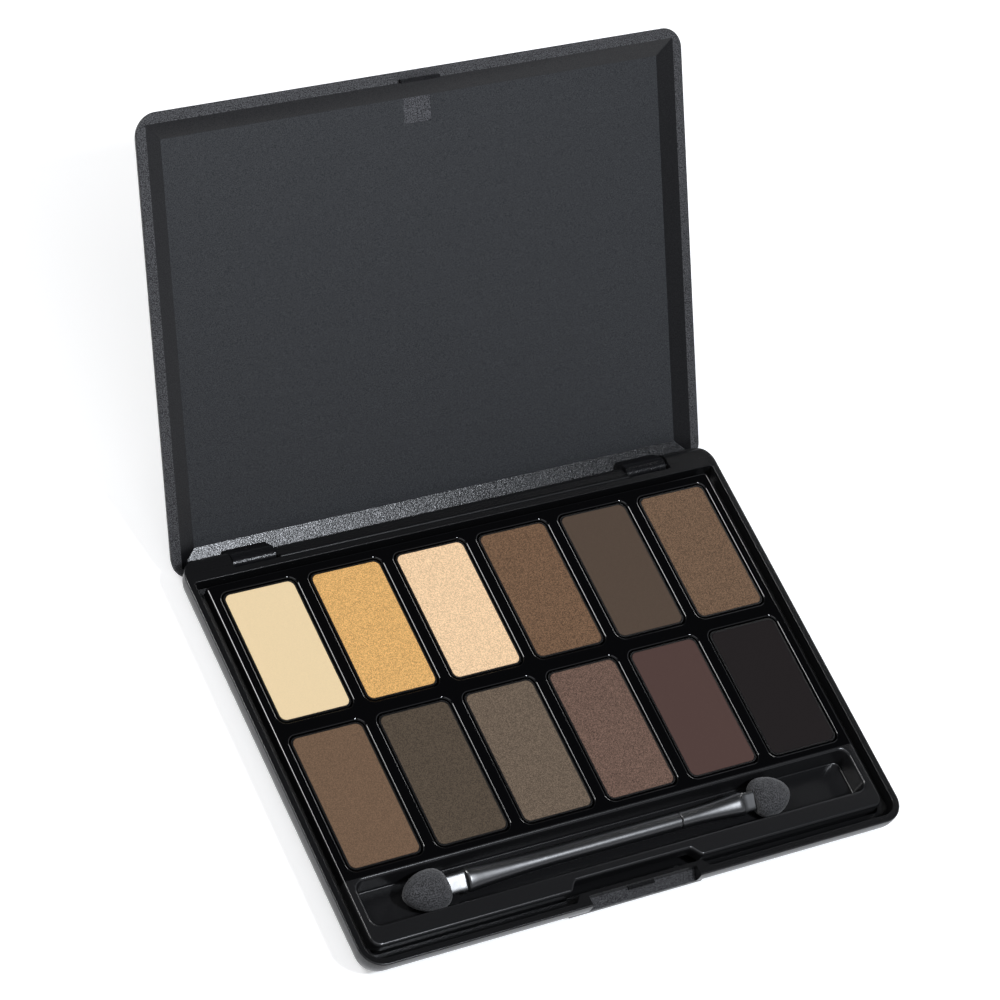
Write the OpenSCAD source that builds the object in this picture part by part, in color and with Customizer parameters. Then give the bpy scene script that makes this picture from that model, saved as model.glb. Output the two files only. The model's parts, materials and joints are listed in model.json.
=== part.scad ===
// Eyeshadow palette: a hinged flat case with a moulded insert, two rows of
// pressed powder pans and a double-ended sponge applicator in a front trough.
// Millimetres. X runs along the hinge, Y to the back, Z up. The origin is the
// centre of the base's flat underside. The lid is drawn open, on its stop.

/* [Case] */
// Width along the hinge
case_w = 108; // [102:1:120]
// Depth from front to back
case_d = 81; // [78:1:90]
// Plan radius of the four corners
corner_r = 4.2; // [3.6:0.1:5]
// Height of the base from underside to rim
base_h = 6; // [5.8:0.1:7]
// Height of the lid above its rim
lid_h = 2.5; // [2.3:0.1:3]
// Width of the base's rim
rim_w = 1.3; // [1.1:0.1:1.5]
// Thickness of the base's floor
floor_t = 1.2; // [1:0.1:1.3]

/* [Lid] */
// Angle between the open lid and the closed one
open_angle = 133; // [0:1:133]
// Width of the lid's flat rim
lid_rim = 1.9; // [1.6:0.1:2.2]
// Width of the bevel between rim and panel
bevel_w = 3; // [2:0.1:4]
// Depth of the inner panel below the rim
panel_drop = 1; // [0.8:0.1:1.2]

/* [Hinge] */
// Hinge axis in front of the back edge
hinge_inset = 1.8; // [1.7:0.05:1.9]
// Hinge axis below the rim
hinge_drop = 2.05; // [2:0.05:2.1]
// Centre of each hinge knuckle from the middle
knuckle_x = 40; // [37:0.5:42]
// Length of each hinge knuckle
knuckle_len = 8.2; // [7:0.1:9]
// Radius of the hinge pins
pin_r = 0.6; // [0.5:0.05:0.6]

/* [Insert] */
// Groove between the base's wall and the insert
groove = 1.55; // [1.4:0.05:1.7]
// Top of the insert below the rim
tray_drop = 0.25; // [0.2:0.05:0.4]
// Thickness of the insert's walls
sheet = 0.6; // [0.5:0.05:0.7]
// Width of the rib between two columns
rib_w = 2.4; // [2:0.1:3]
// Depth of the wells below the insert's top
well_deep = 3.15; // [2.8:0.05:3.2]

/* [Powders] */
// Gap between a pan and its well
pan_gap = 0.3; // [0.2:0.05:0.4]
// Wall of the metal pans
pan_wall = 0.3; // [0.2:0.05:0.4]
// Top of the powders below the rim
powder_drop = 0.42; // [0.35:0.01:0.6]

/* [Applicator] */
// Overall length
wand_len = 77; // [70:1:80]
// Radius of the handle's slim middle
wand_r = 1.6; // [1.3:0.1:1.8]
// Width of a sponge tip
tip_w = 7.3; // [6:0.1:7.4]
// Thickness of a sponge tip
tip_t = 4.8; // [4:0.1:4.8]

/* [Hidden] */
$fn = 48;
eps = 0.01;
big = 200;

front = -case_d / 2;
back = case_d / 2;

// outer edge of the base: a short upright band, then a quarter ellipse
edge_band = 0.8;
edge_drop = base_h - edge_band;
edge_steps = 12;

// hinge
hinge_y = back - hinge_inset;
hinge_z = base_h - hinge_drop;
stop_angle = 133;
barrel_r = 1.65;
pin_gap = 0.05;
knuckle_gap = 0.35;
web_sink = 0.75;
pocket_deep = 2.95;
pocket_front = 0.3;
block_drop = 0.15;
block_r = hinge_drop - block_drop;
deck_w = 3;
deck_back = back - deck_w;
ledge_r = 1.1;
pin_len = 16;
parting = 0.1;

// inside of the base; its corners at the hinge are nearly square
deck_in = 4.95;
deck_corner = 0.4;
ledge_deep = 2.6;
ledge_w = 1.9;
floor_r = 2;

// snap catch at the front
notch_w = 21.6;
notch_deep = 1.95;
notch_wall = 1.3;
notch_low = 2.7;
notch_toe = 0.2;
catch_wall = 0.7;
catch_w = 24.4;
catch_slope = 1.1;
bar_w = 5.2;
bar_out = 0.5;
bar_top = 1.05;
bar_t = 0.4;
hook_w = 7.7;
hook_t = 0.6;
hook_drop = 0.9;
hook_root = 0.5;
mark_w = 5.4;
mark_d = 4.5;
mark_deep = 0.08;

// insert: outline, then the trough and the wells from front to back
tray_front_in = 3.5;
tray_front = front + tray_front_in;
tray_back_in = 5.9;
tray_back = back - tray_back_in;
tray_w = case_w - 2 * (rim_w + groove);
tray_r = 2;
tray_top = base_h - tray_drop;
jog_w = 22.6;
jog_d = 1.8;
jog_slope = 2;
shelf = 3.7;
trough_d = 8.3;
trough_side = 4.7;
trough_w = case_w - 2 * trough_side;
trough_r = 1.6;
trough_rib = 1.9;
row_rib = 2.5;
back_edge = 1.9;
cols = 6;
end_rib = 0.75;
pitch = (tray_w - 2 * end_rib) / cols;
well_w = pitch - rib_w;
well_d = (tray_back - tray_front - shelf - trough_d - trough_rib - row_rib - back_edge) / 2;
well_r = 1.6;
row_front = tray_front + shelf + trough_d + trough_rib + well_d / 2;
row_back = row_front + well_d + row_rib;
well_floor = tray_top - well_deep;
trough_y = tray_front + shelf + trough_d / 2;
trough_floor = floor_t + sheet;
skirt_z = base_h - ledge_deep;
tape_w = 8;
tape_end = 8;

// pans and powders
pan_w = well_w - 2 * pan_gap;
pan_d = well_d - 2 * pan_gap;
pan_r = well_r - pan_gap;
glue_t = 0.1;
glue_r = 2.5;
pan_z = well_floor + glue_t;
pan_floor = 0.3;
powder_top = base_h - powder_drop;
pan_below = 0.08;
pan_top = powder_top - pan_below;
powder_lip = 0.25;

// applicator, laid along the trough
wand_end = 12.4;
wand_left = -case_w / 2 + wand_end;
wand_front = 0.1;
wand_y = trough_y - wand_front;
wand_lift = 0.05;
wand_z = trough_floor + wand_lift + tip_t / 2;
tip_left_len = 8.1;
tip_right_len = 6.9;
neck_left = 3.6;
neck_right = 3.2;
short_len = 12.7;
flare_r = 2.2;
flare_len = 16;
flare_steps = 8;
flare_straight = 2;
tongue_t = 1.5;
tongue_w = 3.5;
tongue_roll = 26;
tongue_in = 4.5;
spigot_r = 0.8;
spigot_len = 4;
spigot_end = 0.2;
overlap = 1;
tip_side = 0.4;
tip_flat = 1.3;
tip_set = 0.3;
neck_w = 5.4;
neck_cut = 1;
neck_side = 0.5;
neck_flat = 0.8;
neck_top = 0.8;
tip_slot = 0.05;
slot_scale = 1.02;

/* ---------- shared shapes ---------- */

// flat rectangle with round corners, centred
module round_rect(w, d, r) {
    square([w - 2 * r, d], center = true);
    square([w, d - 2 * r], center = true);
    for (x = [-1, 1], y = [-1, 1])
        translate([x * (w / 2 - r), y * (d / 2 - r)]) circle(r);
}

module round_box(w, d, r, z0, z1) {
    translate([0, 0, z0]) linear_extrude(z1 - z0) round_rect(w, d, r);
}

// slab with round corners whose edge follows a side profile, a list of
// [inset, z] points from its lower plane to its upper one
module profiled_slab(w, d, r, profile) {
    low = profile[0][1];
    high = profile[len(profile) - 1][1];
    corner = concat([[0, low]], [for (p = profile) [r - p[0], p[1]]], [[0, high]]);
    for (i = [0:3])
        let (sx = (i == 0 || i == 3) ? 1 : -1, sy = i < 2 ? 1 : -1)
            translate([sx * (w / 2 - r), sy * (d / 2 - r), 0])
                rotate([0, 0, 90 * i]) rotate_extrude(angle = 90) polygon(corner);
    for (s = [0, 1]) {
        rotate([0, 0, 180 * s]) translate([w / 2 - r, d / 2 - r, 0])
            rotate([90, 0, 0]) linear_extrude(d - 2 * r) polygon(corner);
        rotate([0, 0, 180 * s]) translate([-(w / 2 - r), d / 2 - r, 0])
            rotate([90, 0, 90]) linear_extrude(w - 2 * r) polygon(corner);
    }
    translate([0, 0, (low + high) / 2])
        cube([w - 2 * r, d - 2 * r, high - low], center = true);
}

// bar along X, centred on x, from a side outline drawn in Y and Z
module bar_x(x, length) {
    translate([x - length / 2, 0, 0]) rotate([90, 0, 90]) linear_extrude(length) children();
}

module rod_x(x, length, r) {
    translate([x - length / 2, 0, 0]) rotate([0, 90, 0]) cylinder(r = r, h = length);
}

module at_hinge() {
    translate([0, hinge_y, hinge_z]) children();
}

/* ---------- base ---------- */

function base_profile() = concat(
    [for (i = [0:edge_steps]) let (a = 90 - 90 * i / edge_steps)
        [corner_r * (1 - cos(a)), edge_drop * (1 - sin(a))]],
    [[0, base_h]]);

// side view of what is cut away behind the back wall, about the hinge axis:
// a round back of radius r, then a slope that is the open lid's stop
module back_cut(r) {
    slope = stop_angle - 90;
    difference() {
        translate([deck_back - hinge_y, -big]) square([big, 2 * big]);
        circle(r);
        translate([-big, -big]) square([big, big + r]);
    }
    difference() {
        translate([0, -big]) square([big, big + r]);
        circle(r);
        rotate(-slope) translate([-big, -big]) square([big + r, big]);
    }
}

module knuckle_pockets() {
    for (s = [-1, 1])
        translate([s * knuckle_x - (knuckle_len / 2 + knuckle_gap),
                   hinge_y - barrel_r - pocket_front, hinge_z - pocket_deep])
            cube([knuckle_len + 2 * knuckle_gap, big, big]);
}

module pin_bores() {
    for (s = [-1, 1]) at_hinge() rod_x(s * knuckle_x, pin_len, pin_r);
}

module cavity() {
    inner_w = case_w - 2 * rim_w;
    inner_d = case_d - rim_w - deck_in;
    inner_y = (rim_w - deck_in) / 2;
    translate([0, inner_y, skirt_z]) linear_extrude(base_h) {
        round_rect(inner_w, inner_d, corner_r - rim_w);
        translate([0, inner_d / 4]) round_rect(inner_w, inner_d / 2, deck_corner);
    }
    translate([0, inner_y, 0])
        round_box(inner_w - 2 * ledge_w, inner_d - 2 * ledge_w, floor_r, floor_t, base_h);
}

// plan of the thin wall that carries the catch, set back from the rim
module catch_plan() {
    inner = notch_deep + catch_wall;
    translate([0, front]) polygon([
        [-catch_w / 2 - catch_slope, rim_w - eps], [catch_w / 2 + catch_slope, rim_w - eps],
        [catch_w / 2, inner], [-catch_w / 2, inner]]);
}

// side view of the finger notch: upright behind, then a scoop down to the edge
module notch_side() {
    translate([front, base_h]) polygon([
        [-1, 1], [notch_deep, 1], [notch_deep, -notch_wall],
        [notch_toe, -notch_low], [-1, -notch_low]]);
}

module base_shell() {
    color("#1c1c1e") {
        difference() {
            profiled_slab(case_w, case_d, corner_r, base_profile());
            difference() {
                cavity();
                linear_extrude(base_h) catch_plan();
            }
            at_hinge() bar_x(0, case_w + 2) back_cut(block_r);
            at_hinge() bar_x(0, 2 * knuckle_x - knuckle_len) back_cut(ledge_r);
            knuckle_pockets();
            pin_bores();
            bar_x(0, notch_w) notch_side();
        }
        translate([-bar_w / 2, front + notch_deep - bar_out, base_h - bar_top - bar_t])
            cube([bar_w, bar_out + eps, bar_t]);
    }
}

/* ---------- lid, drawn closed and then swung open ---------- */

function lid_profile() = concat(
    [[0, 0]],
    [for (i = [1:edge_steps]) let (a = 90 * i / edge_steps)
        [lid_h * (1 - cos(a)), lid_h * sin(a)]]);

// shallow truncated pyramid: the panel and its four mitred bevels
module panel_recess() {
    w0 = case_w / 2 - lid_rim;
    w1 = w0 - bevel_w;
    d0 = case_d / 2 - lid_rim;
    d1 = d0 - bevel_w;
    intersection() {
        translate([0, case_d / 2, 0]) rotate([90, 0, 0]) linear_extrude(case_d)
            polygon([[-w0, 0], [w0, 0], [w1, panel_drop], [-w1, panel_drop]]);
        bar_x(0, case_w) polygon([[-d0, 0], [d0, 0], [d1, panel_drop], [-d1, panel_drop]]);
    }
    translate([-w0, -d0, -1]) cube([2 * w0, 2 * d0, 1 + eps]);
}

module closed_lid() {
    difference() {
        profiled_slab(case_w, case_d, corner_r, lid_profile());
        panel_recess();
        translate([-mark_w / 2, front + lid_rim + bevel_w, 0])
            cube([mark_w, mark_d, panel_drop + mark_deep]);
    }
    translate([-hook_w / 2, front + lid_rim - hook_t, -hook_drop])
        cube([hook_w, hook_t, hook_drop + hook_root]);
}

// one knuckle about the hinge axis: a barrel and the web up to the lid
module knuckle() {
    web_top = hinge_drop + parting + web_sink;
    difference() {
        union() {
            rod_x(0, knuckle_len, barrel_r);
            translate([-knuckle_len / 2, -barrel_r, 0])
                cube([knuckle_len, 2 * barrel_r, web_top]);
        }
        rod_x(0, knuckle_len + 2, pin_r + pin_gap);
    }
}

module lid_shell() {
    color("#2b2c2f") at_hinge() rotate([-open_angle, 0, 0]) {
        translate([0, -hinge_y, hinge_drop + parting]) closed_lid();
        for (s = [-1, 1]) translate([s * knuckle_x, 0, 0]) knuckle();
    }
}

module hinge_pin(s) {
    color("silver") at_hinge() rod_x(s * knuckle_x, pin_len, pin_r);
}

/* ---------- insert ---------- */

// outline of the insert, inset by t; its front edge steps back at the catch
module tray_plan(t) {
    d = tray_back - tray_front;
    difference() {
        translate([0, (tray_front + tray_back) / 2])
            round_rect(tray_w - 2 * t, d - 2 * t, tray_r - t);
        translate([0, tray_front]) polygon([
            [-jog_w / 2 - jog_slope - t, -1], [jog_w / 2 + jog_slope + t, -1],
            [jog_w / 2 + jog_slope + t, t], [jog_w / 2 + t, jog_d + t],
            [-jog_w / 2 - t, jog_d + t], [-jog_w / 2 - jog_slope - t, t]]);
    }
}

// calls its child at every well, with the column and row known by number
module at_well(row, col) {
    translate([(col - (cols - 1) / 2) * pitch, row == 0 ? row_back : row_front, 0]) children();
}

module each_well() {
    for (row = [0, 1], col = [0:cols - 1]) at_well(row, col) children();
}

module insert_tray() {
    color("#0b0b0c") difference() {
        union() {
            translate([0, 0, skirt_z]) linear_extrude(tray_top - skirt_z) tray_plan(0);
            each_well() round_box(well_w + 2 * sheet, well_d + 2 * sheet, well_r + sheet,
                                  well_floor - sheet, tray_top - eps);
            translate([0, trough_y, 0])
                round_box(trough_w + 2 * sheet, trough_d + 2 * sheet, trough_r + sheet,
                          floor_t, tray_top - eps);
        }
        difference() {
            translate([0, 0, skirt_z - eps]) linear_extrude(tray_top - sheet - skirt_z)
                tray_plan(sheet);
            each_well() round_box(well_w + 2 * sheet, well_d + 2 * sheet, well_r + sheet,
                                  0, base_h);
            translate([0, trough_y, 0])
                round_box(trough_w + 2 * sheet, trough_d + 2 * sheet, trough_r + sheet, 0, base_h);
        }
        each_well() round_box(well_w, well_d, well_r, well_floor, base_h);
        translate([0, trough_y, 0]) round_box(trough_w, trough_d, trough_r, trough_floor, base_h);
    }
}

// two strips of foam tape between the wells' undersides and the base
module tray_tape() {
    color("ivory") for (y = [row_front, row_back])
        translate([-tray_w / 2 + tape_end, y - tape_w / 2, floor_t])
            cube([tray_w - 2 * tape_end, tape_w, well_floor - sheet - floor_t]);
}

/* ---------- powders ---------- */

module pan_glue() {
    color("khaki") each_well() translate([0, 0, well_floor]) cylinder(r = glue_r, h = glue_t);
}

module pan(row, col) {
    color("#1a1a1b") at_well(row, col) difference() {
        round_box(pan_w, pan_d, pan_r, pan_z, pan_top);
        round_box(pan_w - 2 * pan_wall, pan_d - 2 * pan_wall, pan_r - pan_wall,
                  pan_z + pan_floor, base_h);
    }
}

// pressed cake; its top edge is broken by a small lip
module powder(row, col, tint) {
    w = pan_w - 2 * pan_wall;
    d = pan_d - 2 * pan_wall;
    r = pan_r - pan_wall;
    color(tint) at_well(row, col) {
        round_box(w, d, r, pan_z + pan_floor, powder_top - powder_lip);
        round_box(w - powder_lip, d - powder_lip, r - powder_lip / 2, pan_z + pan_floor, powder_top);
    }
}

/* ---------- applicator ---------- */

module at_wand() {
    translate([wand_left, wand_y, wand_z]) children();
}

// half outline of one flared handle end that starts at x = 0 and slims down
function flare(length) = [for (i = [0:flare_steps]) let (t = i / flare_steps)
    [length * t, wand_r + (flare_r - wand_r) * pow(1 - t, 2)]];

// solid of revolution about the X axis from [x, radius] points
module turned_x(points) {
    rotate([0, 90, 0]) rotate_extrude()
        polygon(concat([[0, points[0][0]]], [for (p = points) [p[1], p[0]]],
                       [[0, points[len(points) - 1][0]]]));
}

// flat tongue from x = 0, rolled a little about the handle's axis
module tongue(length) {
    rotate([tongue_roll, 0, 0]) translate([0, -tongue_w / 2, -tongue_t / 2])
        cube([length, tongue_w, tongue_t]);
}

module handle_long() {
    start = tip_left_len + neck_left;
    seam = wand_len - tip_right_len - neck_right - short_len;
    color("#141416") at_wand() {
        translate([start, 0, 0]) turned_x(concat(flare(flare_len), [[seam - start, wand_r]]));
        translate([tip_left_len - tongue_in, 0, 0]) tongue(neck_left + tongue_in + overlap);
        rod_x(seam + (spigot_len - overlap) / 2, spigot_len + overlap, spigot_r);
    }
}

module handle_short() {
    seam = wand_len - tip_right_len - neck_right - short_len;
    finish = seam + short_len;
    color("#141416") at_wand() difference() {
        union() {
            translate([finish, 0, 0]) mirror([1, 0, 0])
                turned_x(concat(flare(short_len - flare_straight), [[short_len, wand_r]]));
            translate([finish - overlap, 0, 0]) tongue(neck_right + tongue_in + overlap);
        }
        translate([seam, 0, 0]) rotate([0, 90, 0])
            cylinder(r = spigot_r, h = spigot_len + spigot_end);
    }
}

// foam tip: a flat drop, widest past its middle, cut square at the neck
module sponge(length) {
    belly = tip_w / 2;
    difference() {
        hull() {
            translate([belly, 0, 0])
                cylinder(r = belly, h = tip_t * tip_side, center = true, $fn = 32);
            translate([belly + tip_set, 0, 0])
                cylinder(r = belly - tip_flat, h = tip_t, center = true, $fn = 32);
            translate([length - neck_cut / 2, 0, 0])
                cube([neck_cut, neck_w, tip_t * neck_side], center = true);
            translate([length - neck_cut / 2, 0, 0])
                cube([neck_cut, neck_w - 2 * neck_flat, tip_t * neck_top], center = true);
        }
        translate([length - tongue_in - tip_slot, 0, 0])
            scale(slot_scale) tongue(tongue_in + overlap);
    }
}

module sponge_tip_left() {
    color("#2e2e30") at_wand() sponge(tip_left_len);
}

module sponge_tip_right() {
    color("#2e2e30") at_wand() translate([wand_len, 0, 0]) mirror([1, 0, 0]) sponge(tip_right_len);
}

/* ---------- assembly ---------- */

tints_back = ["#ead6ac", "#dcb06c", "#e8caa2", "#6e543f", "#54483f", "#70594a"];
tints_front = ["#735b49", "#544a3e", "#6b5f50", "#735a50", "#52403c", "#252324"];

base_shell();
lid_shell();
hinge_pin(-1);  // hinge_pin_left
hinge_pin(1);  // hinge_pin_right
insert_tray();
tray_tape();
pan_glue();
pan(0, 0);  // pan_back_1
pan(0, 1);  // pan_back_2
pan(0, 2);  // pan_back_3
pan(0, 3);  // pan_back_4
pan(0, 4);  // pan_back_5
pan(0, 5);  // pan_back_6
pan(1, 0);  // pan_front_1
pan(1, 1);  // pan_front_2
pan(1, 2);  // pan_front_3
pan(1, 3);  // pan_front_4
pan(1, 4);  // pan_front_5
pan(1, 5);  // pan_front_6
powder(0, 0, tints_back[0]);  // powder_back_1
powder(0, 1, tints_back[1]);  // powder_back_2
powder(0, 2, tints_back[2]);  // powder_back_3
powder(0, 3, tints_back[3]);  // powder_back_4
powder(0, 4, tints_back[4]);  // powder_back_5
powder(0, 5, tints_back[5]);  // powder_back_6
powder(1, 0, tints_front[0]);  // powder_front_1
powder(1, 1, tints_front[1]);  // powder_front_2
powder(1, 2, tints_front[2]);  // powder_front_3
powder(1, 3, tints_front[3]);  // powder_front_4
powder(1, 4, tints_front[4]);  // powder_front_5
powder(1, 5, tints_front[5]);  // powder_front_6
handle_long();
handle_short();
sponge_tip_left();
sponge_tip_right();
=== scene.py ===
import json
import math

import bmesh
import bpy
import numpy as np
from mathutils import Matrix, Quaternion, Vector


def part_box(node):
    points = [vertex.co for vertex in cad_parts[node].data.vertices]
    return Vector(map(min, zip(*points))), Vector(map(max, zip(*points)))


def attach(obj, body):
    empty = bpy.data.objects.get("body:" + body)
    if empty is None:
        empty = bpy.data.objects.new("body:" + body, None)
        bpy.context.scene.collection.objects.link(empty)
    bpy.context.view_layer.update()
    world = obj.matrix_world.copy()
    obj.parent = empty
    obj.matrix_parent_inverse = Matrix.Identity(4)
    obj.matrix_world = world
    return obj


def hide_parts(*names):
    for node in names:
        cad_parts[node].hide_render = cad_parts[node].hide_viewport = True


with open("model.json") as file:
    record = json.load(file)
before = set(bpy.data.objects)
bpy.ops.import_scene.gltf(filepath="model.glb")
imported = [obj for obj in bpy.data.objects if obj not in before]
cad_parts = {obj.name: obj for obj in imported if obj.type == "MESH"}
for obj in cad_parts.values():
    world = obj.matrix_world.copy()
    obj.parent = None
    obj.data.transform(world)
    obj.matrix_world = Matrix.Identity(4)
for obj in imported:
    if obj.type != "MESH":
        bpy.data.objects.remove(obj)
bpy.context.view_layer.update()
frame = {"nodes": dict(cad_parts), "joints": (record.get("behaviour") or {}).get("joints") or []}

# ---------------------------------------------------------------- camera
# A long lens from the front left, half way up and rolled to its right.
AIM = Vector((0.0089, 0.0381, 0.0060))
CAMERA_DISTANCE = 0.7106
CAMERA_AZIMUTH = math.radians(-49.26)
CAMERA_ELEVATION = math.radians(50.88)
CAMERA_ROLL = math.radians(29.24)


def towards(azimuth, elevation):
    """Unit vector to a point of the sky: azimuth 0 is the front (-Y), and it grows to the right (+X)."""
    level = math.cos(elevation)
    return Vector((math.sin(azimuth) * level, -math.cos(azimuth) * level, math.sin(elevation)))


camera = bpy.data.objects.new("camera", bpy.data.cameras.new("camera"))
bpy.context.scene.collection.objects.link(camera)
camera.data.lens = 144.45
camera.data.clip_start = 0.01
back_to_camera = towards(CAMERA_AZIMUTH, CAMERA_ELEVATION)
camera.rotation_mode = "QUATERNION"
upright = back_to_camera.to_track_quat("Z", "Y")
camera.rotation_quaternion = upright @ Quaternion((0, 0, 1), CAMERA_ROLL)
camera.location = AIM + back_to_camera * CAMERA_DISTANCE
bpy.context.scene.camera = camera

# ---------------------------------------------------------------- floor and light
# A white opal acrylic table, faintly lit from below so that shadows stay light, in a white room
# that is dark overhead. A small lamp high at the front right shines along the applicator and in
# the lid's bevel by the hinge. One lamp at each side of the back draws the lines on the wells'
# lips, and a large card above the front left fills the shadows.
bpy.context.scene.view_settings.view_transform = "Standard"


def linear(hex_colour):
    """sRGB hex to linear RGBA: a channel c is c / 12.92 when dark, and ((c + 0.055) / 1.055) ** 2.4
    when it isn't."""
    channels = np.array([int(hex_colour[i:i + 2], 16) for i in (1, 3, 5)]) / 255
    bright = ((channels + 0.055) / 1.055) ** 2.4
    return (*np.where(channels <= 0.04045, channels / 12.92, bright), 1.0)


def add(tree, kind, settings=None, links=None):
    """Adds a node: settings are its properties or its sockets' values, links are what its sockets read."""
    node = tree.nodes.new(kind)
    for key, value in (settings or {}).items():
        if isinstance(key, str) and hasattr(node, key):
            setattr(node, key, value)
        else:
            node.inputs[key].default_value = value
    for key, source in (links or {}).items():
        tree.links.new(source, node.inputs[key])
    return node


def new_material(name, settings):
    """A material with one Principled shader, and Object coordinates for its patterns."""
    material = bpy.data.materials.new(name)
    material.use_nodes = True
    tree = material.node_tree
    tree.nodes.clear()
    shader = add(tree, "ShaderNodeBsdfPrincipled", settings)
    add(tree, "ShaderNodeOutputMaterial", links={"Surface": shader.outputs[0]})
    return material, tree, shader, add(tree, "ShaderNodeTexCoord").outputs["Object"]


world = bpy.data.worlds.new("room")
bpy.context.scene.world = world
world.use_nodes = True
room = world.node_tree
room.nodes.clear()
sky = add(room, "ShaderNodeSeparateXYZ", links={0: add(room, "ShaderNodeTexCoord").outputs["Generated"]})
height = add(room, "ShaderNodeMapRange",
             {"interpolation_type": "SMOOTHSTEP", "From Min": 0.10, "From Max": 0.60, "To Min": 0.75,
              "To Max": 0.0}, {"Value": sky.outputs["Z"]})
walls = add(room, "ShaderNodeBackground", {"Color": linear("#F4F7FF")}, {"Strength": height.outputs[0]})
add(room, "ShaderNodeOutputWorld", links={"Surface": walls.outputs[0]})


def area_light(name, place, facing, width, power, colour):
    """A square area light at a place, facing back along a direction."""
    light = bpy.data.lights.new(name, "AREA")
    light.shape = "SQUARE"
    light.size = width
    light.energy = power
    light.color = linear(colour)[:3]
    lamp = bpy.data.objects.new(name, light)
    bpy.context.scene.collection.objects.link(lamp)
    lamp.location = place
    lamp.rotation_mode = "QUATERNION"
    lamp.rotation_quaternion = Vector(facing).to_track_quat("Z", "Y")


PALETTE_MIDDLE = Vector((0, 0.03, 0))
# each lamp's azimuth and elevation in degrees, distance and width in metres, power in watts, and colour
LAMPS = {"key_light": (28, 58.5, 0.885, 0.10, 4.6, "#F2F7FF"),
         "fill_light": (-125, 45, 0.70, 0.20, 2.2, "#FFFFFF"),
         "edge_light": (118, 32, 0.80, 0.12, 0.6, "#FFFFFF")}
for name, (azimuth, elevation, distance, width, power, colour) in LAMPS.items():
    facing = towards(math.radians(azimuth), math.radians(elevation))
    area_light(name, PALETTE_MIDDLE + facing * distance, facing, width, power, colour)
CARD_PLACE = Vector((-0.25, -0.27, 0.75))
area_light("front_card", CARD_PLACE, CARD_PLACE - PALETTE_MIDDLE, 0.60, 1.4, "#F8FAFF")

table_top, opal, opal_shader, at = new_material("opal_acrylic_sheet", {"Roughness": 0.7,
                                                                     "Emission Color": linear("#FFFFFF"),
                                                                     "Emission Strength": 0.4})
mottle = add(opal, "ShaderNodeTexNoise", {"Scale": 900.0, "Detail": 3.0}, {"Vector": at})
tone = add(opal, "ShaderNodeMapRange", {"To Min": 0.92, "To Max": 0.96}, {"Value": mottle.outputs[0]})
opal.links.new(tone.outputs[0], opal_shader.inputs["Base Color"])
TABLE_HALF = 1.5
table_mesh = bpy.data.meshes.new("table")
table_corners = [(x * TABLE_HALF, y * TABLE_HALF, 0) for x, y in ((-1, -1), (1, -1), (1, 1), (-1, 1))]
table_mesh.from_pydata(table_corners, [], [(0, 1, 2, 3)])
table_mesh.materials.append(table_top)
table = bpy.data.objects.new("table", table_mesh)
bpy.context.scene.collection.objects.link(table)

# ---------------------------------------------------------------- base shell
# The lower half of the case: black ABS, injection moulded in a spark-eroded mould. The insert
# drops into it. Its front has a finger notch with the catch wall behind, and its back has the
# rounded hinge blocks with a pocket for each knuckle of the lid.
MM = 0.001
CORNER_STEPS = 12
RIM_WIDTH = 1.3
CASE_CORNER = 4.2
EDGE_BAND = 0.8


def box_mm(node):
    """Lowest and highest corner of a CAD node, in millimetres."""
    low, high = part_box(node)
    return np.array(low) / MM, np.array(high) / MM


def ring(left, right, front, back, radius, z, back_radius=None):
    """Rounded rectangle at height z, anticlockwise from above: a quarter circle at each corner,
    about a centre that is one radius in from both edges. The back corners may have their own radius."""
    each = CORNER_STEPS + 1
    turn = np.linspace(0, np.pi / 2, each)
    angle = (turn + np.arange(4)[:, None] * np.pi / 2).ravel()
    far = radius if back_radius is None else back_radius
    centre_x = np.repeat([right - far, left + far, left + radius, right - radius], each)
    centre_y = np.repeat([back - far, back - far, front + radius, front + radius], each)
    reach = np.repeat([far, far, radius, radius], each)
    return np.column_stack([centre_x + reach * np.cos(angle), centre_y + reach * np.sin(angle),
                            np.full(len(angle), z)])


def skin(rings, cap_first=True, cap_last=True):
    """Quads from each ring to the next, point to point, and a flat cap over the first and the last."""
    count = len(rings[0])
    start = np.arange(len(rings) - 1)[:, None] * count
    here = np.arange(count)
    after = (here + 1) % count
    quads = np.stack([start + here, start + after, start + count + after, start + count + here], -1)
    faces = quads.reshape(-1, 4).tolist()
    if cap_first:
        faces.append(here[::-1].tolist())
    if cap_last:
        faces.append((here + (len(rings) - 1) * count).tolist())
    return np.concatenate(rings), faces


def arc(start, end, steps):
    """Angles in radians from start to end, both in degrees."""
    return np.radians(np.linspace(start, end, steps + 1))


def prism(outline, x0, x1):
    """Closed bar along X: one outline of (y, z) points, anticlockwise as seen from +X, at both ends."""
    outline = np.array(outline, float)
    return skin([np.column_stack([np.full(len(outline), x), outline]) for x in (x0, x1)])


def new_piece(name, shape, *materials):
    """A mesh object from millimetre points and their faces."""
    points, faces = shape
    mesh = bpy.data.meshes.new(name)
    mesh.from_pydata((points * MM).tolist(), [], faces)
    for material in materials:
        mesh.materials.append(material)
    made = bpy.data.objects.new(name, mesh)
    bpy.context.scene.collection.objects.link(made)
    return made


def combine(body, shape, operation):
    """Cuts a millimetre shape out of a body, or joins it on, and keeps the result as the body's mesh."""
    tool = new_piece("tool", shape)
    step = body.modifiers.new("step", "BOOLEAN")
    step.operation = operation
    step.solver = "EXACT"
    step.object = tool
    bpy.context.view_layer.update()
    made = bpy.data.meshes.new_from_object(body.evaluated_get(bpy.context.evaluated_depsgraph_get()))
    body.modifiers.clear()
    body.data = made
    bpy.data.objects.remove(tool)


CREASE_ANGLE = 14


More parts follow.
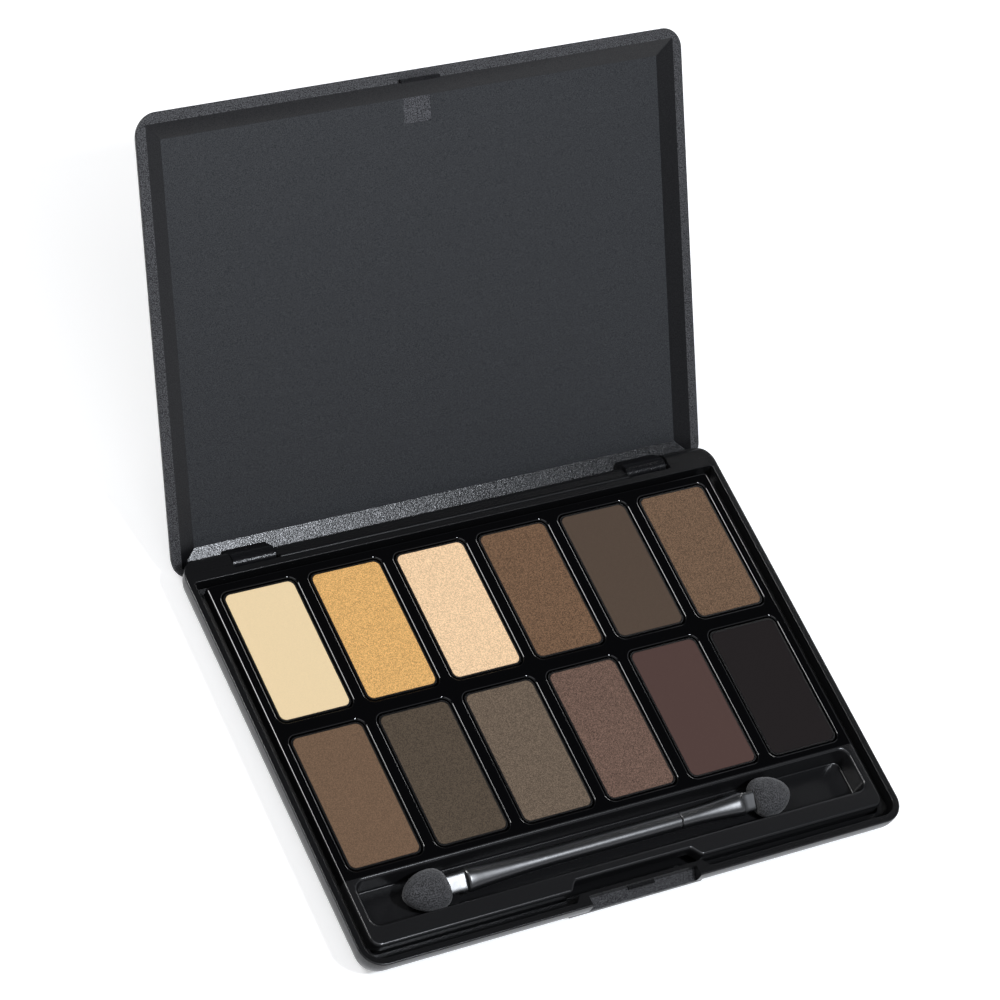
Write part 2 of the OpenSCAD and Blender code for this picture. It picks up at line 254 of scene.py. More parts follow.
def smooth(body, sharp_angle=CREASE_ANGLE):
    """Smooth shading that keeps the creases, with large flat faces ruling the normals."""
    body.data.shade_smooth()
    body.data.set_sharp_from_angle(angle=math.radians(sharp_angle))
    weigh = body.modifiers.new("weigh", "WEIGHTED_NORMAL")
    weigh.keep_sharp = True


PEBBLE_MM = 0.16
PEBBLE_LOW = 0.3
PEBBLE_HIGH = 0.7
MEAN_GLOSS = 0.4


def moulded_abs(name, colour, roughness, grain_mm, depth_mm, sparkle, painted_sparkle=0.0):
    """Black ABS from a spark-eroded mould: a fine pebble grain that breaks highlights into sparks.
    Where the grain is coarse, the pebbles that glint are painted paler too, a painted sparkle; the last
    argument says how much."""
    material, tree, shader, at = new_material(name, {"Base Color": linear(colour), "Roughness": roughness})
    grain = add(tree, "ShaderNodeTexNoise", {"Scale": 1 / (grain_mm * MM), "Detail": 2.0}, {"Vector": at})
    bump = add(tree, "ShaderNodeBump", {"Strength": 1.0, "Distance": depth_mm * MM},
               {"Height": grain.outputs[0]})
    tree.links.new(bump.outputs[0], shader.inputs["Normal"])
    pebbles = add(tree, "ShaderNodeTexNoise", {"Scale": 1 / (PEBBLE_MM * MM), "Detail": 1.0}, {"Vector": at})
    glint = add(tree, "ShaderNodeMapRange",
                {"From Min": PEBBLE_LOW, "From Max": PEBBLE_HIGH, "To Min": MEAN_GLOSS - sparkle,
                 "To Max": MEAN_GLOSS + sparkle}, {"Value": pebbles.outputs[0]})
    tree.links.new(glint.outputs[0], shader.inputs["Specular IOR Level"])
    # painted sparkle: the pebbles that glint are also painted paler in colour
    if painted_sparkle:
        glint_paleness = add(tree, "ShaderNodeMapRange",
                     {"From Min": PEBBLE_LOW, "From Max": PEBBLE_HIGH, "To Min": 1 - painted_sparkle,
                      "To Max": 1 + painted_sparkle}, {"Value": pebbles.outputs[0]})
        pale = add(tree, "ShaderNodeVectorMath", {"operation": "SCALE", "Vector": linear(colour)[:3]},
                   {"Scale": glint_paleness.outputs[0]})
        tree.links.new(pale.outputs[0], shader.inputs["Base Color"])
    return material


# the case is a fine satin black; the finger notch has a coarse grain for grip, which looks grey, and painted
# sparkle on its pebbles
base_abs = moulded_abs("moulded_abs_base", "#131314", 0.26, 0.30, 0.012, 0.15)
scoop_abs = moulded_abs("moulded_abs_scoop", "#2A2A2C", 0.42, 0.24, 0.060, 0.4, 0.9)
case_low, case_high = box_mm("base_shell")
case_left, case_front, _ = case_low
case_right, case_back, rim_z = case_high
edge_drop = rim_z - EDGE_BAND
DECK_DEPTH = 4.95
DECK_CORNER = 0.4
LEDGE_DROP = 2.6
LEDGE_WIDTH = 1.9
FLOOR = 1.2
RIM_ROUND = 0.3
RIM_INNER_ROUND = 0.15


def outside(inset, z):
    return ring(case_left + inset, case_right - inset, case_front + inset, case_back - inset,
                max(CASE_CORNER - inset, 0.05), z)


def inside(inset, z):
    return ring(case_left + RIM_WIDTH + inset, case_right - RIM_WIDTH - inset,
                case_front + RIM_WIDTH + inset, case_back - DECK_DEPTH - inset,
                max(CASE_CORNER - RIM_WIDTH - inset, 1.0), z, DECK_CORNER)


base_rings = [outside(CASE_CORNER * (1 - math.cos(a)), edge_drop * (1 - math.sin(a))) for a in arc(90, 0, 14)]
base_rings += [outside(RIM_ROUND * (1 - math.cos(a)), rim_z - RIM_ROUND * (1 - math.sin(a)))
               for a in arc(0, 90, 8)]
base_rings += [inside(-RIM_INNER_ROUND * (1 - math.sin(a)), rim_z - RIM_INNER_ROUND * (1 - math.cos(a)))
               for a in arc(0, 90, 8)]
ledge_z = rim_z - LEDGE_DROP
base_rings += [inside(0, ledge_z), inside(LEDGE_WIDTH, ledge_z), inside(LEDGE_WIDTH, FLOOR)]
base_shell = new_piece("base_case", skin(base_rings), base_abs, scoop_abs)

# the catch wall, then the finger notch in front of it; a join sinks in by SINK and a cut runs past by PAST
SINK = 0.3
PAST = 1.0
CATCH_HALF = 12.2
CATCH_SLOPE = 1.1
NOTCH_HALF = 10.8
NOTCH_DEPTH = 1.95
CATCH_WALL = 0.7
notch_back = case_front + NOTCH_DEPTH
wall_back = notch_back + CATCH_WALL
wall_end = CATCH_HALF + CATCH_SLOPE
wall_plan = np.array([[-wall_end, case_front + RIM_WIDTH - SINK], [wall_end, case_front + RIM_WIDTH - SINK],
                      [wall_end, case_front + RIM_WIDTH], [CATCH_HALF, wall_back],
                      [-CATCH_HALF, wall_back], [-wall_end, case_front + RIM_WIDTH]])
combine(base_shell, skin([np.column_stack([wall_plan, np.full(len(wall_plan), z)])
                          for z in (FLOOR - SINK, rim_z)]), "UNION")
NOTCH_TOE = 0.2
toe_z = rim_z - 2.7
heel_z = rim_z - 1.3
notch = [(case_front - PAST, rim_z + PAST), (case_front - PAST, toe_z), (case_front + NOTCH_TOE, toe_z),
         (notch_back, heel_z), (notch_back, rim_z + PAST)]
combine(base_shell, prism(notch, -NOTCH_HALF, NOTCH_HALF), "DIFFERENCE")
BAR_HALF = 2.6
BAR_OUT = 0.5
BAR_ROOT = 0.2
bar_low = rim_z - 1.45
bar_high = rim_z - 1.05
bar = [(notch_back - BAR_OUT, bar_low), (notch_back + BAR_ROOT, bar_low),
       (notch_back + BAR_ROOT, bar_high), (notch_back - BAR_OUT, bar_high)]
combine(base_shell, prism(bar, -BAR_HALF, BAR_HALF), "UNION")

# the hinge side, about the axis of the lid
hinge = next(j for j in frame["joints"] if j["name"] == "lid_hinge")
_, hinge_y, hinge_z = np.array(hinge["pos_m"]) / MM
OPEN_ANGLE = hinge["range_deg"][1]
DECK_WIDTH = 3.0
KNUCKLE_X = 40.0
KNUCKLE_HALF = 4.1
STOP_SLOPE = 9.0
BACK_CUT = 5.0
TOP_CUT = 2.0


def behind(radius, edge_round, first=90):
    """Side view of what is cut away behind the deck: down the deck's round edge from the first angle,
    back along a step one radius above the axis, round the axis, then down the slope that is the open
    lid's stop. A first angle over 90 makes the edge a bead, with a shallow groove in front of it."""
    deck = case_back - DECK_WIDTH
    edge = [(deck - edge_round * (1 - math.cos(a)), rim_z - edge_round * (1 - math.sin(a)))
            for a in arc(first, 0, 12)]
    round_back = [(hinge_y + radius * math.cos(a), hinge_z + radius * math.sin(a))
                  for a in arc(90, 90 - OPEN_ANGLE, 16)]
    down = math.radians(-OPEN_ANGLE)
    foot = (round_back[-1][0] + STOP_SLOPE * math.cos(down), round_back[-1][1] + STOP_SLOPE * math.sin(down))
    before = edge[0][0] - 0.2
    return edge + [(deck, hinge_z + radius)] + round_back + [foot, (case_back + BACK_CUT, foot[1]),
                                                            (case_back + BACK_CUT, rim_z + TOP_CUT),
                                                            (before, rim_z + TOP_CUT), (before, rim_z)]


END_RADIUS = 1.9
END_ROUND = 0.1
BEAD_RADIUS = 1.1
BEAD_ROUND = 0.4
BEAD_START = 140
between = KNUCKLE_X - KNUCKLE_HALF
combine(base_shell, prism(behind(END_RADIUS, END_ROUND), case_left - PAST, case_right + PAST), "DIFFERENCE")
combine(base_shell, prism(behind(BEAD_RADIUS, BEAD_ROUND, BEAD_START), -between, between), "DIFFERENCE")
POCKET_GAP = 0.35
pocket_front = hinge_y - 1.95
pocket_low = hinge_z - 2.95
pocket = [(pocket_front, pocket_low), (case_back + BACK_CUT, pocket_low),
          (case_back + BACK_CUT, rim_z + TOP_CUT), (pocket_front, rim_z + TOP_CUT)]
for middle in (-KNUCKLE_X, KNUCKLE_X):
    combine(base_shell, prism(pocket, middle - KNUCKLE_HALF - POCKET_GAP, middle + KNUCKLE_HALF + POCKET_GAP),
            "DIFFERENCE")
smooth(base_shell)
faces = base_shell.data.polygons
centre, normal = np.zeros(len(faces) * 3), np.zeros(len(faces) * 3)
faces.foreach_get("center", centre)
faces.foreach_get("normal", normal)
x, y, z = centre.reshape(-1, 3).T / MM
# the coarse grain is on the notch's sloping floor, whose normal leans forward and has this much Z
SCOOP_RISE = 0.78
in_notch = (np.abs(x) < NOTCH_HALF) & (y < notch_back) & (z > toe_z - 0.1)
faces.foreach_set("material_index", (in_notch & (np.abs(normal[2::3] - SCOOP_RISE) < 0.1)).astype(int))
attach(base_shell, "base")
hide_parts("base_shell")

# ---------------------------------------------------------------- lid shell
# The upper half of the case, moulded like the base. Its rim has a coarse grain, its inner face is
# a flat fine-grained panel in a plain mitred bevel, and it has a small coarse patch and a hook for
# the catch at the front. Two knuckles turn on the hinge pins.
# It is drawn lying flat, rim up, behind the hinge axis, and then leant forward to its stop.
LID_HEIGHT = 2.5
LID_RIM = 1.9
BEVEL = 3.0
PANEL_DROP = 1.0
LID_RIM_Z = -2.15
lean = math.radians(180 - OPEN_ANGLE)
lid_near = hinge_y - case_back
lid_far = lid_near + (case_back - case_front)


def lid_ring(inset, radius, rise):
    return ring(case_left + inset, case_right - inset, lid_near + inset, lid_far - inset, radius,
                LID_RIM_Z + rise)


def lean_forward(shape):
    """Turns points about X by the lean, from the flat lid's own axes at the hinge to their place."""
    points, faces = shape
    x, u, w = points.T
    return np.column_stack([x, hinge_y + u * math.cos(lean) - w * math.sin(lean),
                            hinge_z + u * math.sin(lean) + w * math.cos(lean)]), faces


# the bevel beside the hinge is left in the lid's own finish, whose peaks glitter under the lamp
lid_abs = moulded_abs("moulded_abs_lid", "#111113", 0.23, 0.20, 0.030, 0.4)
# the panel, the patch and the sparked rim have painted sparkle: their glinting pebbles are painted paler
panel_abs = moulded_abs("moulded_abs_panel", "#212326", 0.45, 0.22, 0.008, 0.2, 0.16)
patch_abs = moulded_abs("moulded_abs_patch", "#3A3A3D", 0.50, 0.30, 0.030, 0.4, 1.0)
rim_abs = moulded_abs("moulded_abs_sparked_rim", "#323234", 0.50, 0.24, 0.050, 0.4, 0.7)
bevel_abs = moulded_abs("moulded_abs_bevel", "#0D0D0F", 0.30, 0.30, 0.010, 0.1)
BEVEL_CORNER = 0.25
PANEL_CORNER = 0.1
lid_rings = [lid_ring(LID_HEIGHT * (1 - math.cos(a)), CASE_CORNER - LID_HEIGHT * (1 - math.cos(a)),
                      -LID_HEIGHT * math.sin(a)) for a in arc(90, 8, 11)]
lid_rings += [lid_ring(RIM_ROUND * (1 - math.cos(a)), CASE_CORNER - RIM_ROUND, -RIM_ROUND * (1 - math.sin(a)))
              for a in arc(0, 90, 8)]
lid_rings += [lid_ring(LID_RIM, BEVEL_CORNER, 0), lid_ring(LID_RIM + BEVEL, PANEL_CORNER, -PANEL_DROP)]
lid_finishes = (lid_abs, panel_abs, patch_abs, rim_abs, bevel_abs)
lid_shell = new_piece("lid_case", lean_forward(skin(lid_rings)), *lid_finishes)


def flat_box(x0, x1, u0, u1, w0, w1):
    """Box in the flat lid's own axes, leant forward with it."""
    return lean_forward(prism([(u0, w0), (u1, w0), (u1, w1), (u0, w1)], x0, x1))


PATCH_HALF = 2.7
PATCH_DEPTH = 4.5
PATCH_SUNK = 0.08
PATCH_CUT = 0.5
patch_far = lid_far - LID_RIM - BEVEL
patch_near = patch_far - PATCH_DEPTH
panel_z = LID_RIM_Z - PANEL_DROP
patch = flat_box(-PATCH_HALF, PATCH_HALF, patch_near, patch_far, panel_z - PATCH_SUNK, panel_z + PATCH_CUT)
combine(lid_shell, patch, "DIFFERENCE")
HOOK_HALF = 3.85
HOOK_THICKNESS = 0.6
HOOK_ROOT = 0.5
HOOK_RISE = 0.9
hook_near = lid_far - LID_RIM
hook = flat_box(-HOOK_HALF, HOOK_HALF, hook_near, hook_near + HOOK_THICKNESS, LID_RIM_Z - HOOK_ROOT,
                LID_RIM_Z + HOOK_RISE)
combine(lid_shell, hook, "UNION")
BARREL = 1.65
knuckle_root = LID_RIM_Z - 0.75
knuckle_side = [(BARREL * math.cos(a), BARREL * math.sin(a)) for a in arc(0, 180, 20)]
knuckle_side += [(-BARREL, knuckle_root), (BARREL, knuckle_root)]
for middle in (-KNUCKLE_X, KNUCKLE_X):
    knuckle = prism(knuckle_side, middle - KNUCKLE_HALF, middle + KNUCKLE_HALF)
    combine(lid_shell, lean_forward(knuckle), "UNION")
crease = lid_shell.modifiers.new("crease", "BEVEL")
crease.width = 0.12 * MM
crease.segments = 2
crease.limit_method = "ANGLE"
crease.angle_limit = math.radians(CREASE_ANGLE)
smooth(lid_shell)

# which finish each face has, from where its middle is in the flat lid's own axes
faces = lid_shell.data.polygons
centre = np.zeros(len(faces) * 3)
faces.foreach_get("center", centre)
centre = centre.reshape(-1, 3) / MM - (0, hinge_y, hinge_z)
along = centre[:, 1] * math.cos(lean) + centre[:, 2] * math.sin(lean)
above = centre[:, 2] * math.cos(lean) - centre[:, 1] * math.sin(lean)
sideways = np.abs(centre[:, 0])
on_patch = (sideways < PATCH_HALF) & (along > patch_near) & (along < patch_far) & (above < panel_z)
on_panel = np.abs(above - panel_z) < 0.01
on_rim = (above > LID_RIM_Z - RIM_ROUND) & (above < LID_RIM_Z + 0.02)
on_bevel = (np.abs(above - LID_RIM_Z + PANEL_DROP / 2) < 0.2) & (along > lid_near + LID_RIM + BEVEL)
on_bevel &= (sideways < case_right - LID_RIM) & (along < lid_far - LID_RIM)
lid_slots = [lid_finishes.index(finish) for finish in (panel_abs, patch_abs, rim_abs, bevel_abs)]
faces.foreach_set("material_index", np.select([on_panel, on_patch, on_rim, on_bevel], lid_slots))
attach(lid_shell, "lid")
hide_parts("lid_shell")

# ---------------------------------------------------------------- insert
# A thin tray of black polystyrene, vacuum formed: every upper edge is rounded and every wall
# leans a little. It is glossy round the pans and satin round the applicator's trough, and its
# front edge steps back at the catch.
SHEET = 0.6
insert_satin, tree, shader, at = new_material("satin_polystyrene", {"Base Color": linear("#1A1A1B"),
                                                                   "Roughness": 0.24})
bloom = add(tree, "ShaderNodeTexNoise", {"Scale": 1 / (0.15 * MM), "Detail": 2.0}, {"Vector": at})
bloomed = add(tree, "ShaderNodeBump", {"Strength": 1.0, "Distance": 0.003 * MM}, {"Height": bloom.outputs[0]})
tree.links.new(bloomed.outputs[0], shader.inputs["Normal"])
insert_gloss, tree, shader, at = new_material("gloss_polystyrene", {"Base Color": linear("#080809"),
                                                                   "Roughness": 0.06})
waves = add(tree, "ShaderNodeTexNoise", {"Scale": 1 / (7 * MM), "Detail": 1.0}, {"Vector": at})
ripple = add(tree, "ShaderNodeBump", {"Strength": 1.0, "Distance": 0.004 * MM}, {"Height": waves.outputs[0]})
tree.links.new(ripple.outputs[0], shader.inputs["Normal"])

tray_low, tray_high = box_mm("insert_tray")
tray_top = tray_high[2]
JOG_HALF = 11.3
JOG_SLOPE = 2.0
JOG_DEPTH = 1.8
JOG_FLARE = 0.4
TRAY_CORNER = 2.0
TRAY_BACK_CORNER = 1.0


def tray_edge(inset, z):
    """The insert's outline: a rounded rectangle whose front edge steps back at the catch, along the
    smooth S of t * t * (3 - 2 * t)."""
    corners = ring(tray_low[0] + inset, tray_high[0] - inset, tray_low[1] + inset, tray_high[1] - inset,
                   TRAY_CORNER - inset, z, max(TRAY_BACK_CORNER - inset, 0.2))
    slope = np.linspace(JOG_HALF, JOG_HALF + JOG_SLOPE, 9) + JOG_FLARE * inset
    x = np.concatenate([-slope[::-1], slope])
    t = np.clip((JOG_HALF + JOG_SLOPE + JOG_FLARE * inset - np.abs(x)) / JOG_SLOPE, 0, 1)
    y = tray_low[1] + inset + JOG_DEPTH * t * t * (3 - 2 * t)
    step = np.column_stack([x, y, np.full(len(x), z)])
    cut = 3 * (CORNER_STEPS + 1)
    return np.concatenate([corners[:cut], step, corners[cut:]])


def pocket_rings(box, radius, bottom, lip, foot, draft, grow):
    """Rings down one pocket: a lip that rounds over from the flat, a wall that leans in by draft, and a
    rounded foot. grow moves the whole surface outward and down, for the sheet's underside."""
    left, right, front, back = box
    lip_r = max(lip - grow, 0.05)
    foot_r = foot + grow
    top = tray_top - grow
    low = bottom - grow
    profile = [(-lip_r * (1 - math.sin(a)), top - lip_r * (1 - math.cos(a))) for a in arc(0, 90, 8)]
    profile += [(draft + foot_r * (1 - math.cos(a)), low + foot_r * (1 - math.sin(a))) for a in arc(0, 90, 8)]
    return [ring(left + i - grow, right - i + grow, front + i - grow, back - i + grow,
                 max(radius - i + grow, 0.3), z) for i, z in profile]


WELL_GAP = 0.6
well_boxes = []
for row in ("front", "back"):
    for number in range(1, 7):
        low, high = box_mm(f"powder_{row}_{number}")
        well_boxes.append((low[0] - WELL_GAP, high[0] + WELL_GAP, low[1] - WELL_GAP, high[1] + WELL_GAP))
TROUGH_MARGIN = 4.7
TROUGH_SHELF = 3.7
TROUGH_WIDTH = 8.3
trough_front = tray_low[1] + TROUGH_SHELF
trough_back = trough_front + TROUGH_WIDTH
trough_box = (case_left + TROUGH_MARGIN, case_right - TROUGH_MARGIN, trough_front, trough_back)
POCKET_CORNER = 1.6
LIP = 0.6
well = {"radius": POCKET_CORNER, "bottom": tray_top - 3.15, "lip": 0.42, "foot": 0.4, "draft": 0.05}
trough = {"radius": POCKET_CORNER, "bottom": 1.8, "lip": LIP, "foot": 0.3, "draft": 0.35}


def formed_face(grow):
    """One side of the formed sheet: points and faces of the skirt, every pocket, and no flat yet."""
    lip = max(LIP - grow, 0.05)
    top = tray_top - grow
    skirt = [tray_edge(grow, ledge_z)]
    skirt += [tray_edge(grow + lip * (1 - math.cos(a)), top - lip * (1 - math.sin(a))) for a in arc(0, 90, 8)]
    shapes = [skin(skirt, False, False)]
    for box in well_boxes:
        shapes.append(skin(pocket_rings(box, grow=grow, **well), False, True))
    shapes.append(skin(pocket_rings(trough_box, grow=grow, **trough), False, True))
    return shapes


sheet_points, sheet_faces = [], []
offset = 0
for points, faces in formed_face(0) + formed_face(SHEET):
    sheet_points.append(points)
    sheet_faces += [[i + offset for i in face] for face in faces]
    offset += len(points)
insert = new_piece("formed_insert", (np.concatenate(sheet_points), sheet_faces), insert_gloss, insert_satin)
sheet = bmesh.new()
sheet.from_mesh(insert.data)
for level in (tray_top, tray_top - SHEET, ledge_z):
    open_edges = [edge for edge in sheet.edges
                  if edge.is_boundary and all(abs(v.co.z / MM - level) < 0.01 for v in edge.verts)]
    bmesh.ops.triangle_fill(sheet, use_beauty=True, use_dissolve=False, edges=open_edges, normal=(0, 0, 1))
satin_back = trough_back + LIP
bmesh.ops.bisect_plane(sheet, geom=sheet.verts[:] + sheet.edges[:] + sheet.faces[:],
                       plane_co=(0, satin_back * MM, 0), plane_no=(0, 1, 0))
bmesh.ops.recalc_face_normals(sheet, faces=sheet.faces)
for face in sheet.faces:
    face.material_index = int(face.calc_center_median().y / MM < satin_back)
sheet.to_mesh(insert.data)
sheet.free()
smooth(insert)
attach(insert, "base")
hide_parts("insert_tray")

# ---------------------------------------------------------------- powders
# Twelve cakes of pressed powder in tin pans. The plain ones are matt; the shimmering ones are
# full of mica flakes, which the pressing lays nearly flat. Each has its colour and its shimmer.
POWDERS = {
    "back": [("cream", "#E7CEA3", 0.0), ("gold", "#D6A665", 0.9), ("peach", "#EAC79E", 0.7),
             ("bronze", "#6D533E", 1.45), ("taupe", "#504237", 0.1), ("umber", "#6B5441", 1.35)],
    "front": [("cocoa", "#6B5441", 0.65), ("olive", "#4E4337", 1.1), ("khaki", "#655749", 1.2),
              ("mauve", "#675146", 1.45), ("plum", "#4E3A35", 0.0), ("black", "#1A1515", 0.0)],
}


def pressed_powder(name, colour, shimmer):
    """Pressed talc and pigment; with shimmer, mica flakes under 0.2 mm wide glint at their own tilts, with
    painted glint and painted shade in the colour.
    """
    material, tree, shader, at = new_material(name, {"Roughness": 0.7, "Specular IOR Level": 0.15})
    flakes = add(tree, "ShaderNodeTexNoise", {"Scale": 1 / (0.19 * MM), "Detail": 3.0, "Roughness": 0.7},
                 {"Vector": at})
    body = np.array(linear(colour)[:3])
    # the colour swings paler and darker across the flakes: a faint random tone of the powder, and with
    # shimmer a painted glint and painted shade
    tone_and_glint_swing = 0.03 + 0.42 * shimmer
    ramp = add(tree, "ShaderNodeValToRGB", links={0: flakes.outputs[0]})
    shade, glint = ramp.color_ramp.elements
    shade.position = 0.35
    shade.color = (*(body * (1 - tone_and_glint_swing)), 1)
    glint.position = 0.65
    glint.color = (*(body * (1 + tone_and_glint_swing)), 1)
    tree.links.new(ramp.outputs[0], shader.inputs["Base Color"])
    bump = add(tree, "ShaderNodeBump", {"Strength": 1.0, "Distance": (0.004 + 0.006 * shimmer) * MM},
               {"Height": flakes.outputs[0]})
    tree.links.new(bump.outputs[0], shader.inputs["Normal"])
    return material


CAKE_ROUND = 0.12
CAKE_CORNER = 1.2
for row, shades in POWDERS.items():
    for number, (shade, colour, shimmer) in enumerate(shades, 1):
        node = f"powder_{row}_{number}"
        low, high = box_mm(node)
        profile = [(0, low[2]), (0, high[2] - CAKE_ROUND)]
        profile += [(CAKE_ROUND * (1 - math.cos(a)), high[2] - CAKE_ROUND * (1 - math.sin(a)))
                    for a in arc(15, 90, 3)]
        cake_rings = [ring(low[0] + i, high[0] - i, low[1] + i, high[1] - i, CAKE_CORNER - i, z)
                      for i, z in profile]
        powder = pressed_powder(f"pressed_powder_{shade}", colour, shimmer)
        cake = new_piece(f"cake_{row}_{number}", skin(cake_rings), powder)
        smooth(cake)
        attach(cake, "base")
        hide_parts(node)

# ---------------------------------------------------------------- pans, glue, tape and pins
# Tinplate pans, pressed to shape and coloured near black, so their thin rims round each cake stay dark,
# each on a dot of hot glue; two strips of foam tape under the insert; and a drawn steel pin through each
# knuckle. Their CAD shapes stay.
# the pans are coloured near black all over
near_black_tin, tree, shader, at = new_material("near_black_tinplate", {"Base Color": linear("#0B0B0C")})
handled = add(tree, "ShaderNodeTexNoise", {"Scale": 1 / (0.5 * MM)}, {"Vector": at})
dulled = add(tree, "ShaderNodeMapRange", {"To Min": 0.28, "To Max": 0.45}, {"Value": handled.outputs[0]})
tree.links.new(dulled.outputs[0], shader.inputs["Roughness"])
pin_steel, tree, shader, at = new_material("drawn_steel", {"Base Color": linear("#A8A9AB"), "Metallic": 1.0})
stretch = add(tree, "ShaderNodeMapping", {"Scale": (200, 8000, 8000)}, {"Vector": at})
lines = add(tree, "ShaderNodeTexNoise", {"Scale": 1.0}, {"Vector": stretch.outputs[0]})
drawn = add(tree, "ShaderNodeMapRange", {"To Min": 0.18, "To Max": 0.35}, {"Value": lines.outputs[0]})
tree.links.new(drawn.outputs[0], shader.inputs["Roughness"])
foam_tape, tree, shader, at = new_material("foam_tape", {"Base Color": linear("#D9D6C8"), "Roughness": 0.9})
cells = add(tree, "ShaderNodeTexVoronoi", {"Scale": 1 / (0.3 * MM)}, {"Vector": at})
pits = add(tree, "ShaderNodeBump", {"Distance": 0.05 * MM}, {"Height": cells.outputs[0]})
tree.links.new(pits.outputs[0], shader.inputs["Normal"])
hot_glue, tree, shader, at = new_material("hot_glue", {"Base Color": linear("#D8CFA8"), "Roughness": 0.3,
                                                      "Subsurface Weight": 0.3})
lumps = add(tree, "ShaderNodeTexNoise", {"Scale": 1 / (1.0 * MM)}, {"Vector": at})
lumpy = add(tree, "ShaderNodeBump", {"Distance": 0.05 * MM}, {"Height": lumps.outputs[0]})
tree.links.new(lumpy.outputs[0], shader.inputs["Normal"])
FINISHES = {"tray_tape": foam_tape, "pan_glue": hot_glue, "hinge_pin": pin_steel, "pan_front": near_black_tin,
            "pan_back": near_black_tin}
for name, node in frame["nodes"].items():
    for start, finish in FINISHES.items():
        if name.startswith(start):
            node.data.materials.clear()
            node.data.materials.append(finish)

# ---------------------------------------------------------------- applicator handle
# Black polystyrene in two halves that plug together: a slim round shaft that flares at both
# ends and steps down to a flat tongue, on which the sponge is pushed.
handle_gloss, tree, shader, at = new_material("moulded_polystyrene", {"Base Color": linear("#0C0D0F"),
                                                                     "Roughness": 0.32,
                                                                     "Specular IOR Level": 1.8})
sink = add(tree, "ShaderNodeTexNoise", {"Scale": 1 / (2.5 * MM)}, {"Vector": at})
sunk = add(tree, "ShaderNodeBump", {"Distance": 0.02 * MM}, {"Height": sink.outputs[0]})
tree.links.new(sunk.outputs[0], shader.inputs["Normal"])
long_low, _ = box_mm("handle_long")
short_low, short_high = box_mm("handle_short")
left_tip_low, left_tip_high = box_mm("sponge_tip_left")
right_tip_low, right_tip_high = box_mm("sponge_tip_right")
_, wand_y, wand_z = (left_tip_low + left_tip_high) / 2
WAND_RADIUS = 1.6
FLARE_RADIUS = 2.2
ROUND_STEPS = 40
HANDLE_ROLL = math.radians(26)
SEAM_GAP = 0.05
END_BEVEL = 0.15


def section(x, half_width, half_height, squareness, roll=0.0):
    """Superellipse across X: |y / a| ** n + |z / b| ** n = 1, from cosine and sine raised to 2 / n, and
    turned about the handle's axis by the roll."""
    angle = np.linspace(0, 2 * np.pi, ROUND_STEPS, endpoint=False)
    c, s = np.cos(angle), np.sin(angle)
    y = half_width * np.sign(c) * np.abs(c) ** (2 / squareness)
    z = half_height * np.sign(s) * np.abs(s) ** (2 / squareness)
    return np.column_stack([np.full(ROUND_STEPS, x), wand_y + y * math.cos(roll) - z * math.sin(roll),
                            wand_z + y * math.sin(roll) + z * math.cos(roll)])


def handle_half(name, tip_x, step_x, end_x, flare_length):
    """One half from the tongue's end to the seam: flat tongue, step, flare, then the slim shaft."""
    way = 1 if end_x > tip_x else -1
    # each station: where it is, half width, half height, squareness
    stations = [(tip_x, 1.55, 0.6, 5),
                (tip_x + END_BEVEL * way, 1.7, 0.72, 5),
                (step_x - 1.2 * way, 1.75, 0.75, 5),
                (step_x - 0.05 * way, 1.95, 0.95, 4),
                (step_x, 2.05, 1.6, 3),
                (step_x + 0.2 * way, 2.15, 1.85, 2.6)]
    for t in np.linspace(0.03, 1, 14):
        radius = WAND_RADIUS + (FLARE_RADIUS - WAND_RADIUS) * (1 - t) ** 2
        flatter = radius * (0.88 + 0.12 * t)
        stations.append((step_x + flare_length * t * way, radius, flatter, 2 + 0.5 * (1 - t)))
    stations += [(end_x - END_BEVEL * way, WAND_RADIUS, WAND_RADIUS, 2),
                 (end_x, WAND_RADIUS - END_BEVEL, WAND_RADIUS - END_BEVEL, 2)]
    rings = [section(*station, roll=HANDLE_ROLL) for station in stations]
    return new_piece(name, skin(rings if way == 1 else rings[::-1]), handle_gloss)


LONG_TONGUE = 8.1
SHORT_TONGUE = 7.7
LONG_FLARE = 16.0
SHORT_FLARE = 10.5
far_left = long_low[0]
far_right = short_high[0]
seam_x = short_low[0]
long_half = handle_half("applicator_long_half", far_left, far_left + LONG_TONGUE, seam_x - SEAM_GAP,
                        LONG_FLARE)
short_half = handle_half("applicator_short_half", far_right, far_right - SHORT_TONGUE, seam_x + SEAM_GAP,
                         SHORT_FLARE)
for half, node in ((long_half, "handle_long"), (short_half, "handle_short")):
    smooth(half, 40)
    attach(half, "applicator")
    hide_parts(node)

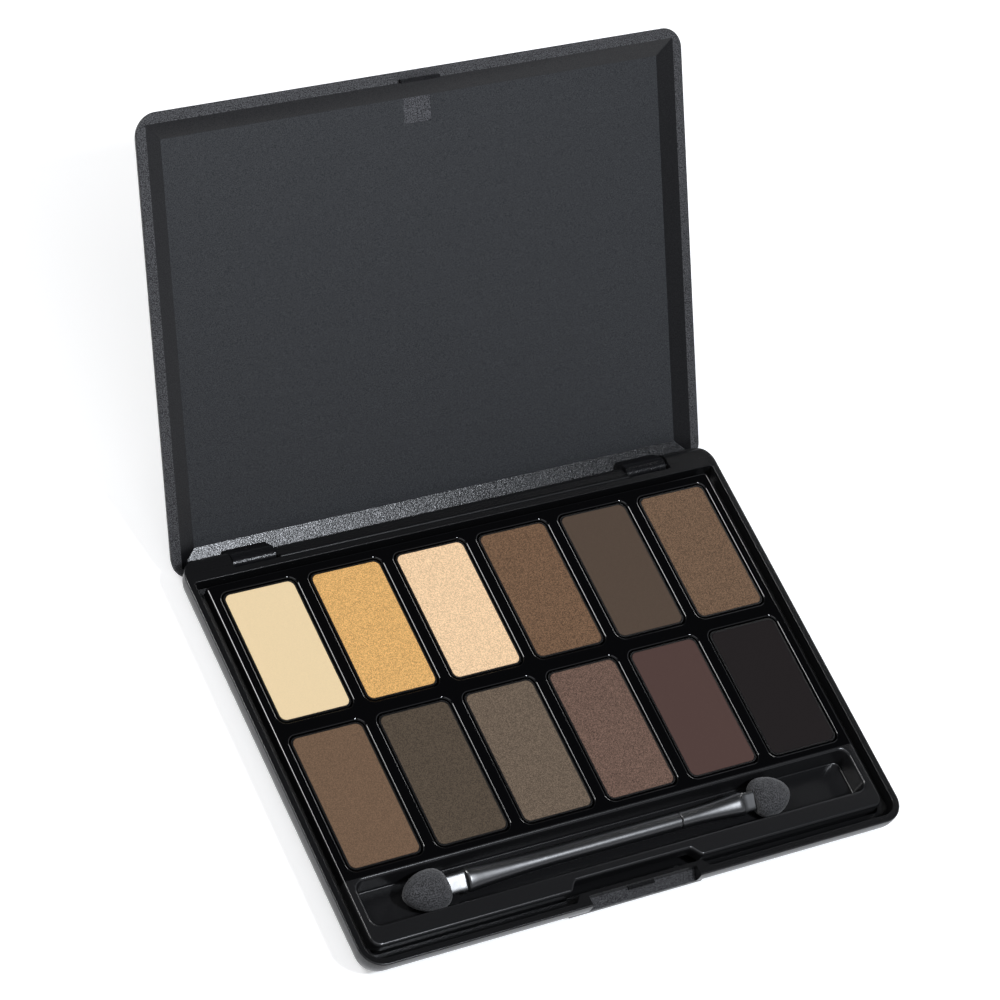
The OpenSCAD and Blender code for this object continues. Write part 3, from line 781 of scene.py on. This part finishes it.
# ---------------------------------------------------------------- sponge tips
# Foamed latex, cut and ground to a flat drop, and glued over the tongue. Its skin is a fine
# open cell, so it looks soft and quite without shine.
sponge_foam, tree, shader, at = new_material("latex_foam", {"Roughness": 0.95, "Specular IOR Level": 0.25,
                                                           "Sheen Weight": 0.25, "Sheen Roughness": 0.5})
cells = add(tree, "ShaderNodeTexVoronoi", {"Scale": 1 / (0.32 * MM)}, {"Vector": at})
soft = add(tree, "ShaderNodeTexNoise", {"Scale": 1 / (0.2 * MM), "Detail": 4.0}, {"Vector": at})
both = add(tree, "ShaderNodeMath", {"operation": "ADD"}, {0: cells.outputs[0], 1: soft.outputs[0]})
pores = add(tree, "ShaderNodeBump", {"Distance": 0.09 * MM}, {"Height": both.outputs[0]})
tree.links.new(pores.outputs[0], shader.inputs["Normal"])
# the foam's grey, painted darker in the pores' hollows and paler on their tops: painted shade and painted
# light
foam_grey_and_pore_shade = add(tree, "ShaderNodeValToRGB", links={0: soft.outputs[0]})
shaded_hollow, top = foam_grey_and_pore_shade.color_ramp.elements
shaded_hollow.position = 0.40
shaded_hollow.color = linear("#181819")
top.position = 0.62
top.color = linear("#4E4E50")
tree.links.new(foam_grey_and_pore_shade.outputs[0], shader.inputs["Base Color"])


BELLY = 0.66
THICKEST = 0.7


def sponge(name, low, high, way):
    """Drop along X in a box, its tip at the low end when way is 1 and at the high end when it is -1.
    At a share s of the length the half width is (1 - (1 - s / BELLY) ** 1.9) ** 0.62 up to the belly,
    and the thickness is the root of 1 - (1 - s / THICKEST) ** 2.6; both ease in towards the neck."""
    length, width, thickness = high - low
    tip_x = low[0] if way == 1 else high[0]
    s = np.sin(np.linspace(0.03, 1, 34) * np.pi / 2) ** 2
    front = np.clip(1 - (1 - np.minimum(s / BELLY, 1)) ** 1.9, 0, 1) ** 0.62
    neck = np.clip((s - BELLY) / (1 - BELLY), 0, 1) ** 3.2
    wide = front * (1 - 0.32 * neck)
    thick = np.sqrt(np.clip(1 - (1 - np.minimum(s / THICKEST, 1)) ** 2.6, 0, 1))
    thick = thick * (1 - 0.36 * neck)
    rings = [section(tip_x + way * length * a, width / 2 * b, thickness / 2 * c, 2.25)
             for a, b, c in zip(s, wide, thick)]
    return new_piece(name, skin(rings if way == 1 else rings[::-1]), sponge_foam)


left_sponge = sponge("sponge_left", left_tip_low, left_tip_high, 1)
right_sponge = sponge("sponge_right", right_tip_low, right_tip_high, -1)
for tip, node in ((left_sponge, "sponge_tip_left"), (right_sponge, "sponge_tip_right")):
    smooth(tip, 60)
    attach(tip, "applicator")
    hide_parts(node)
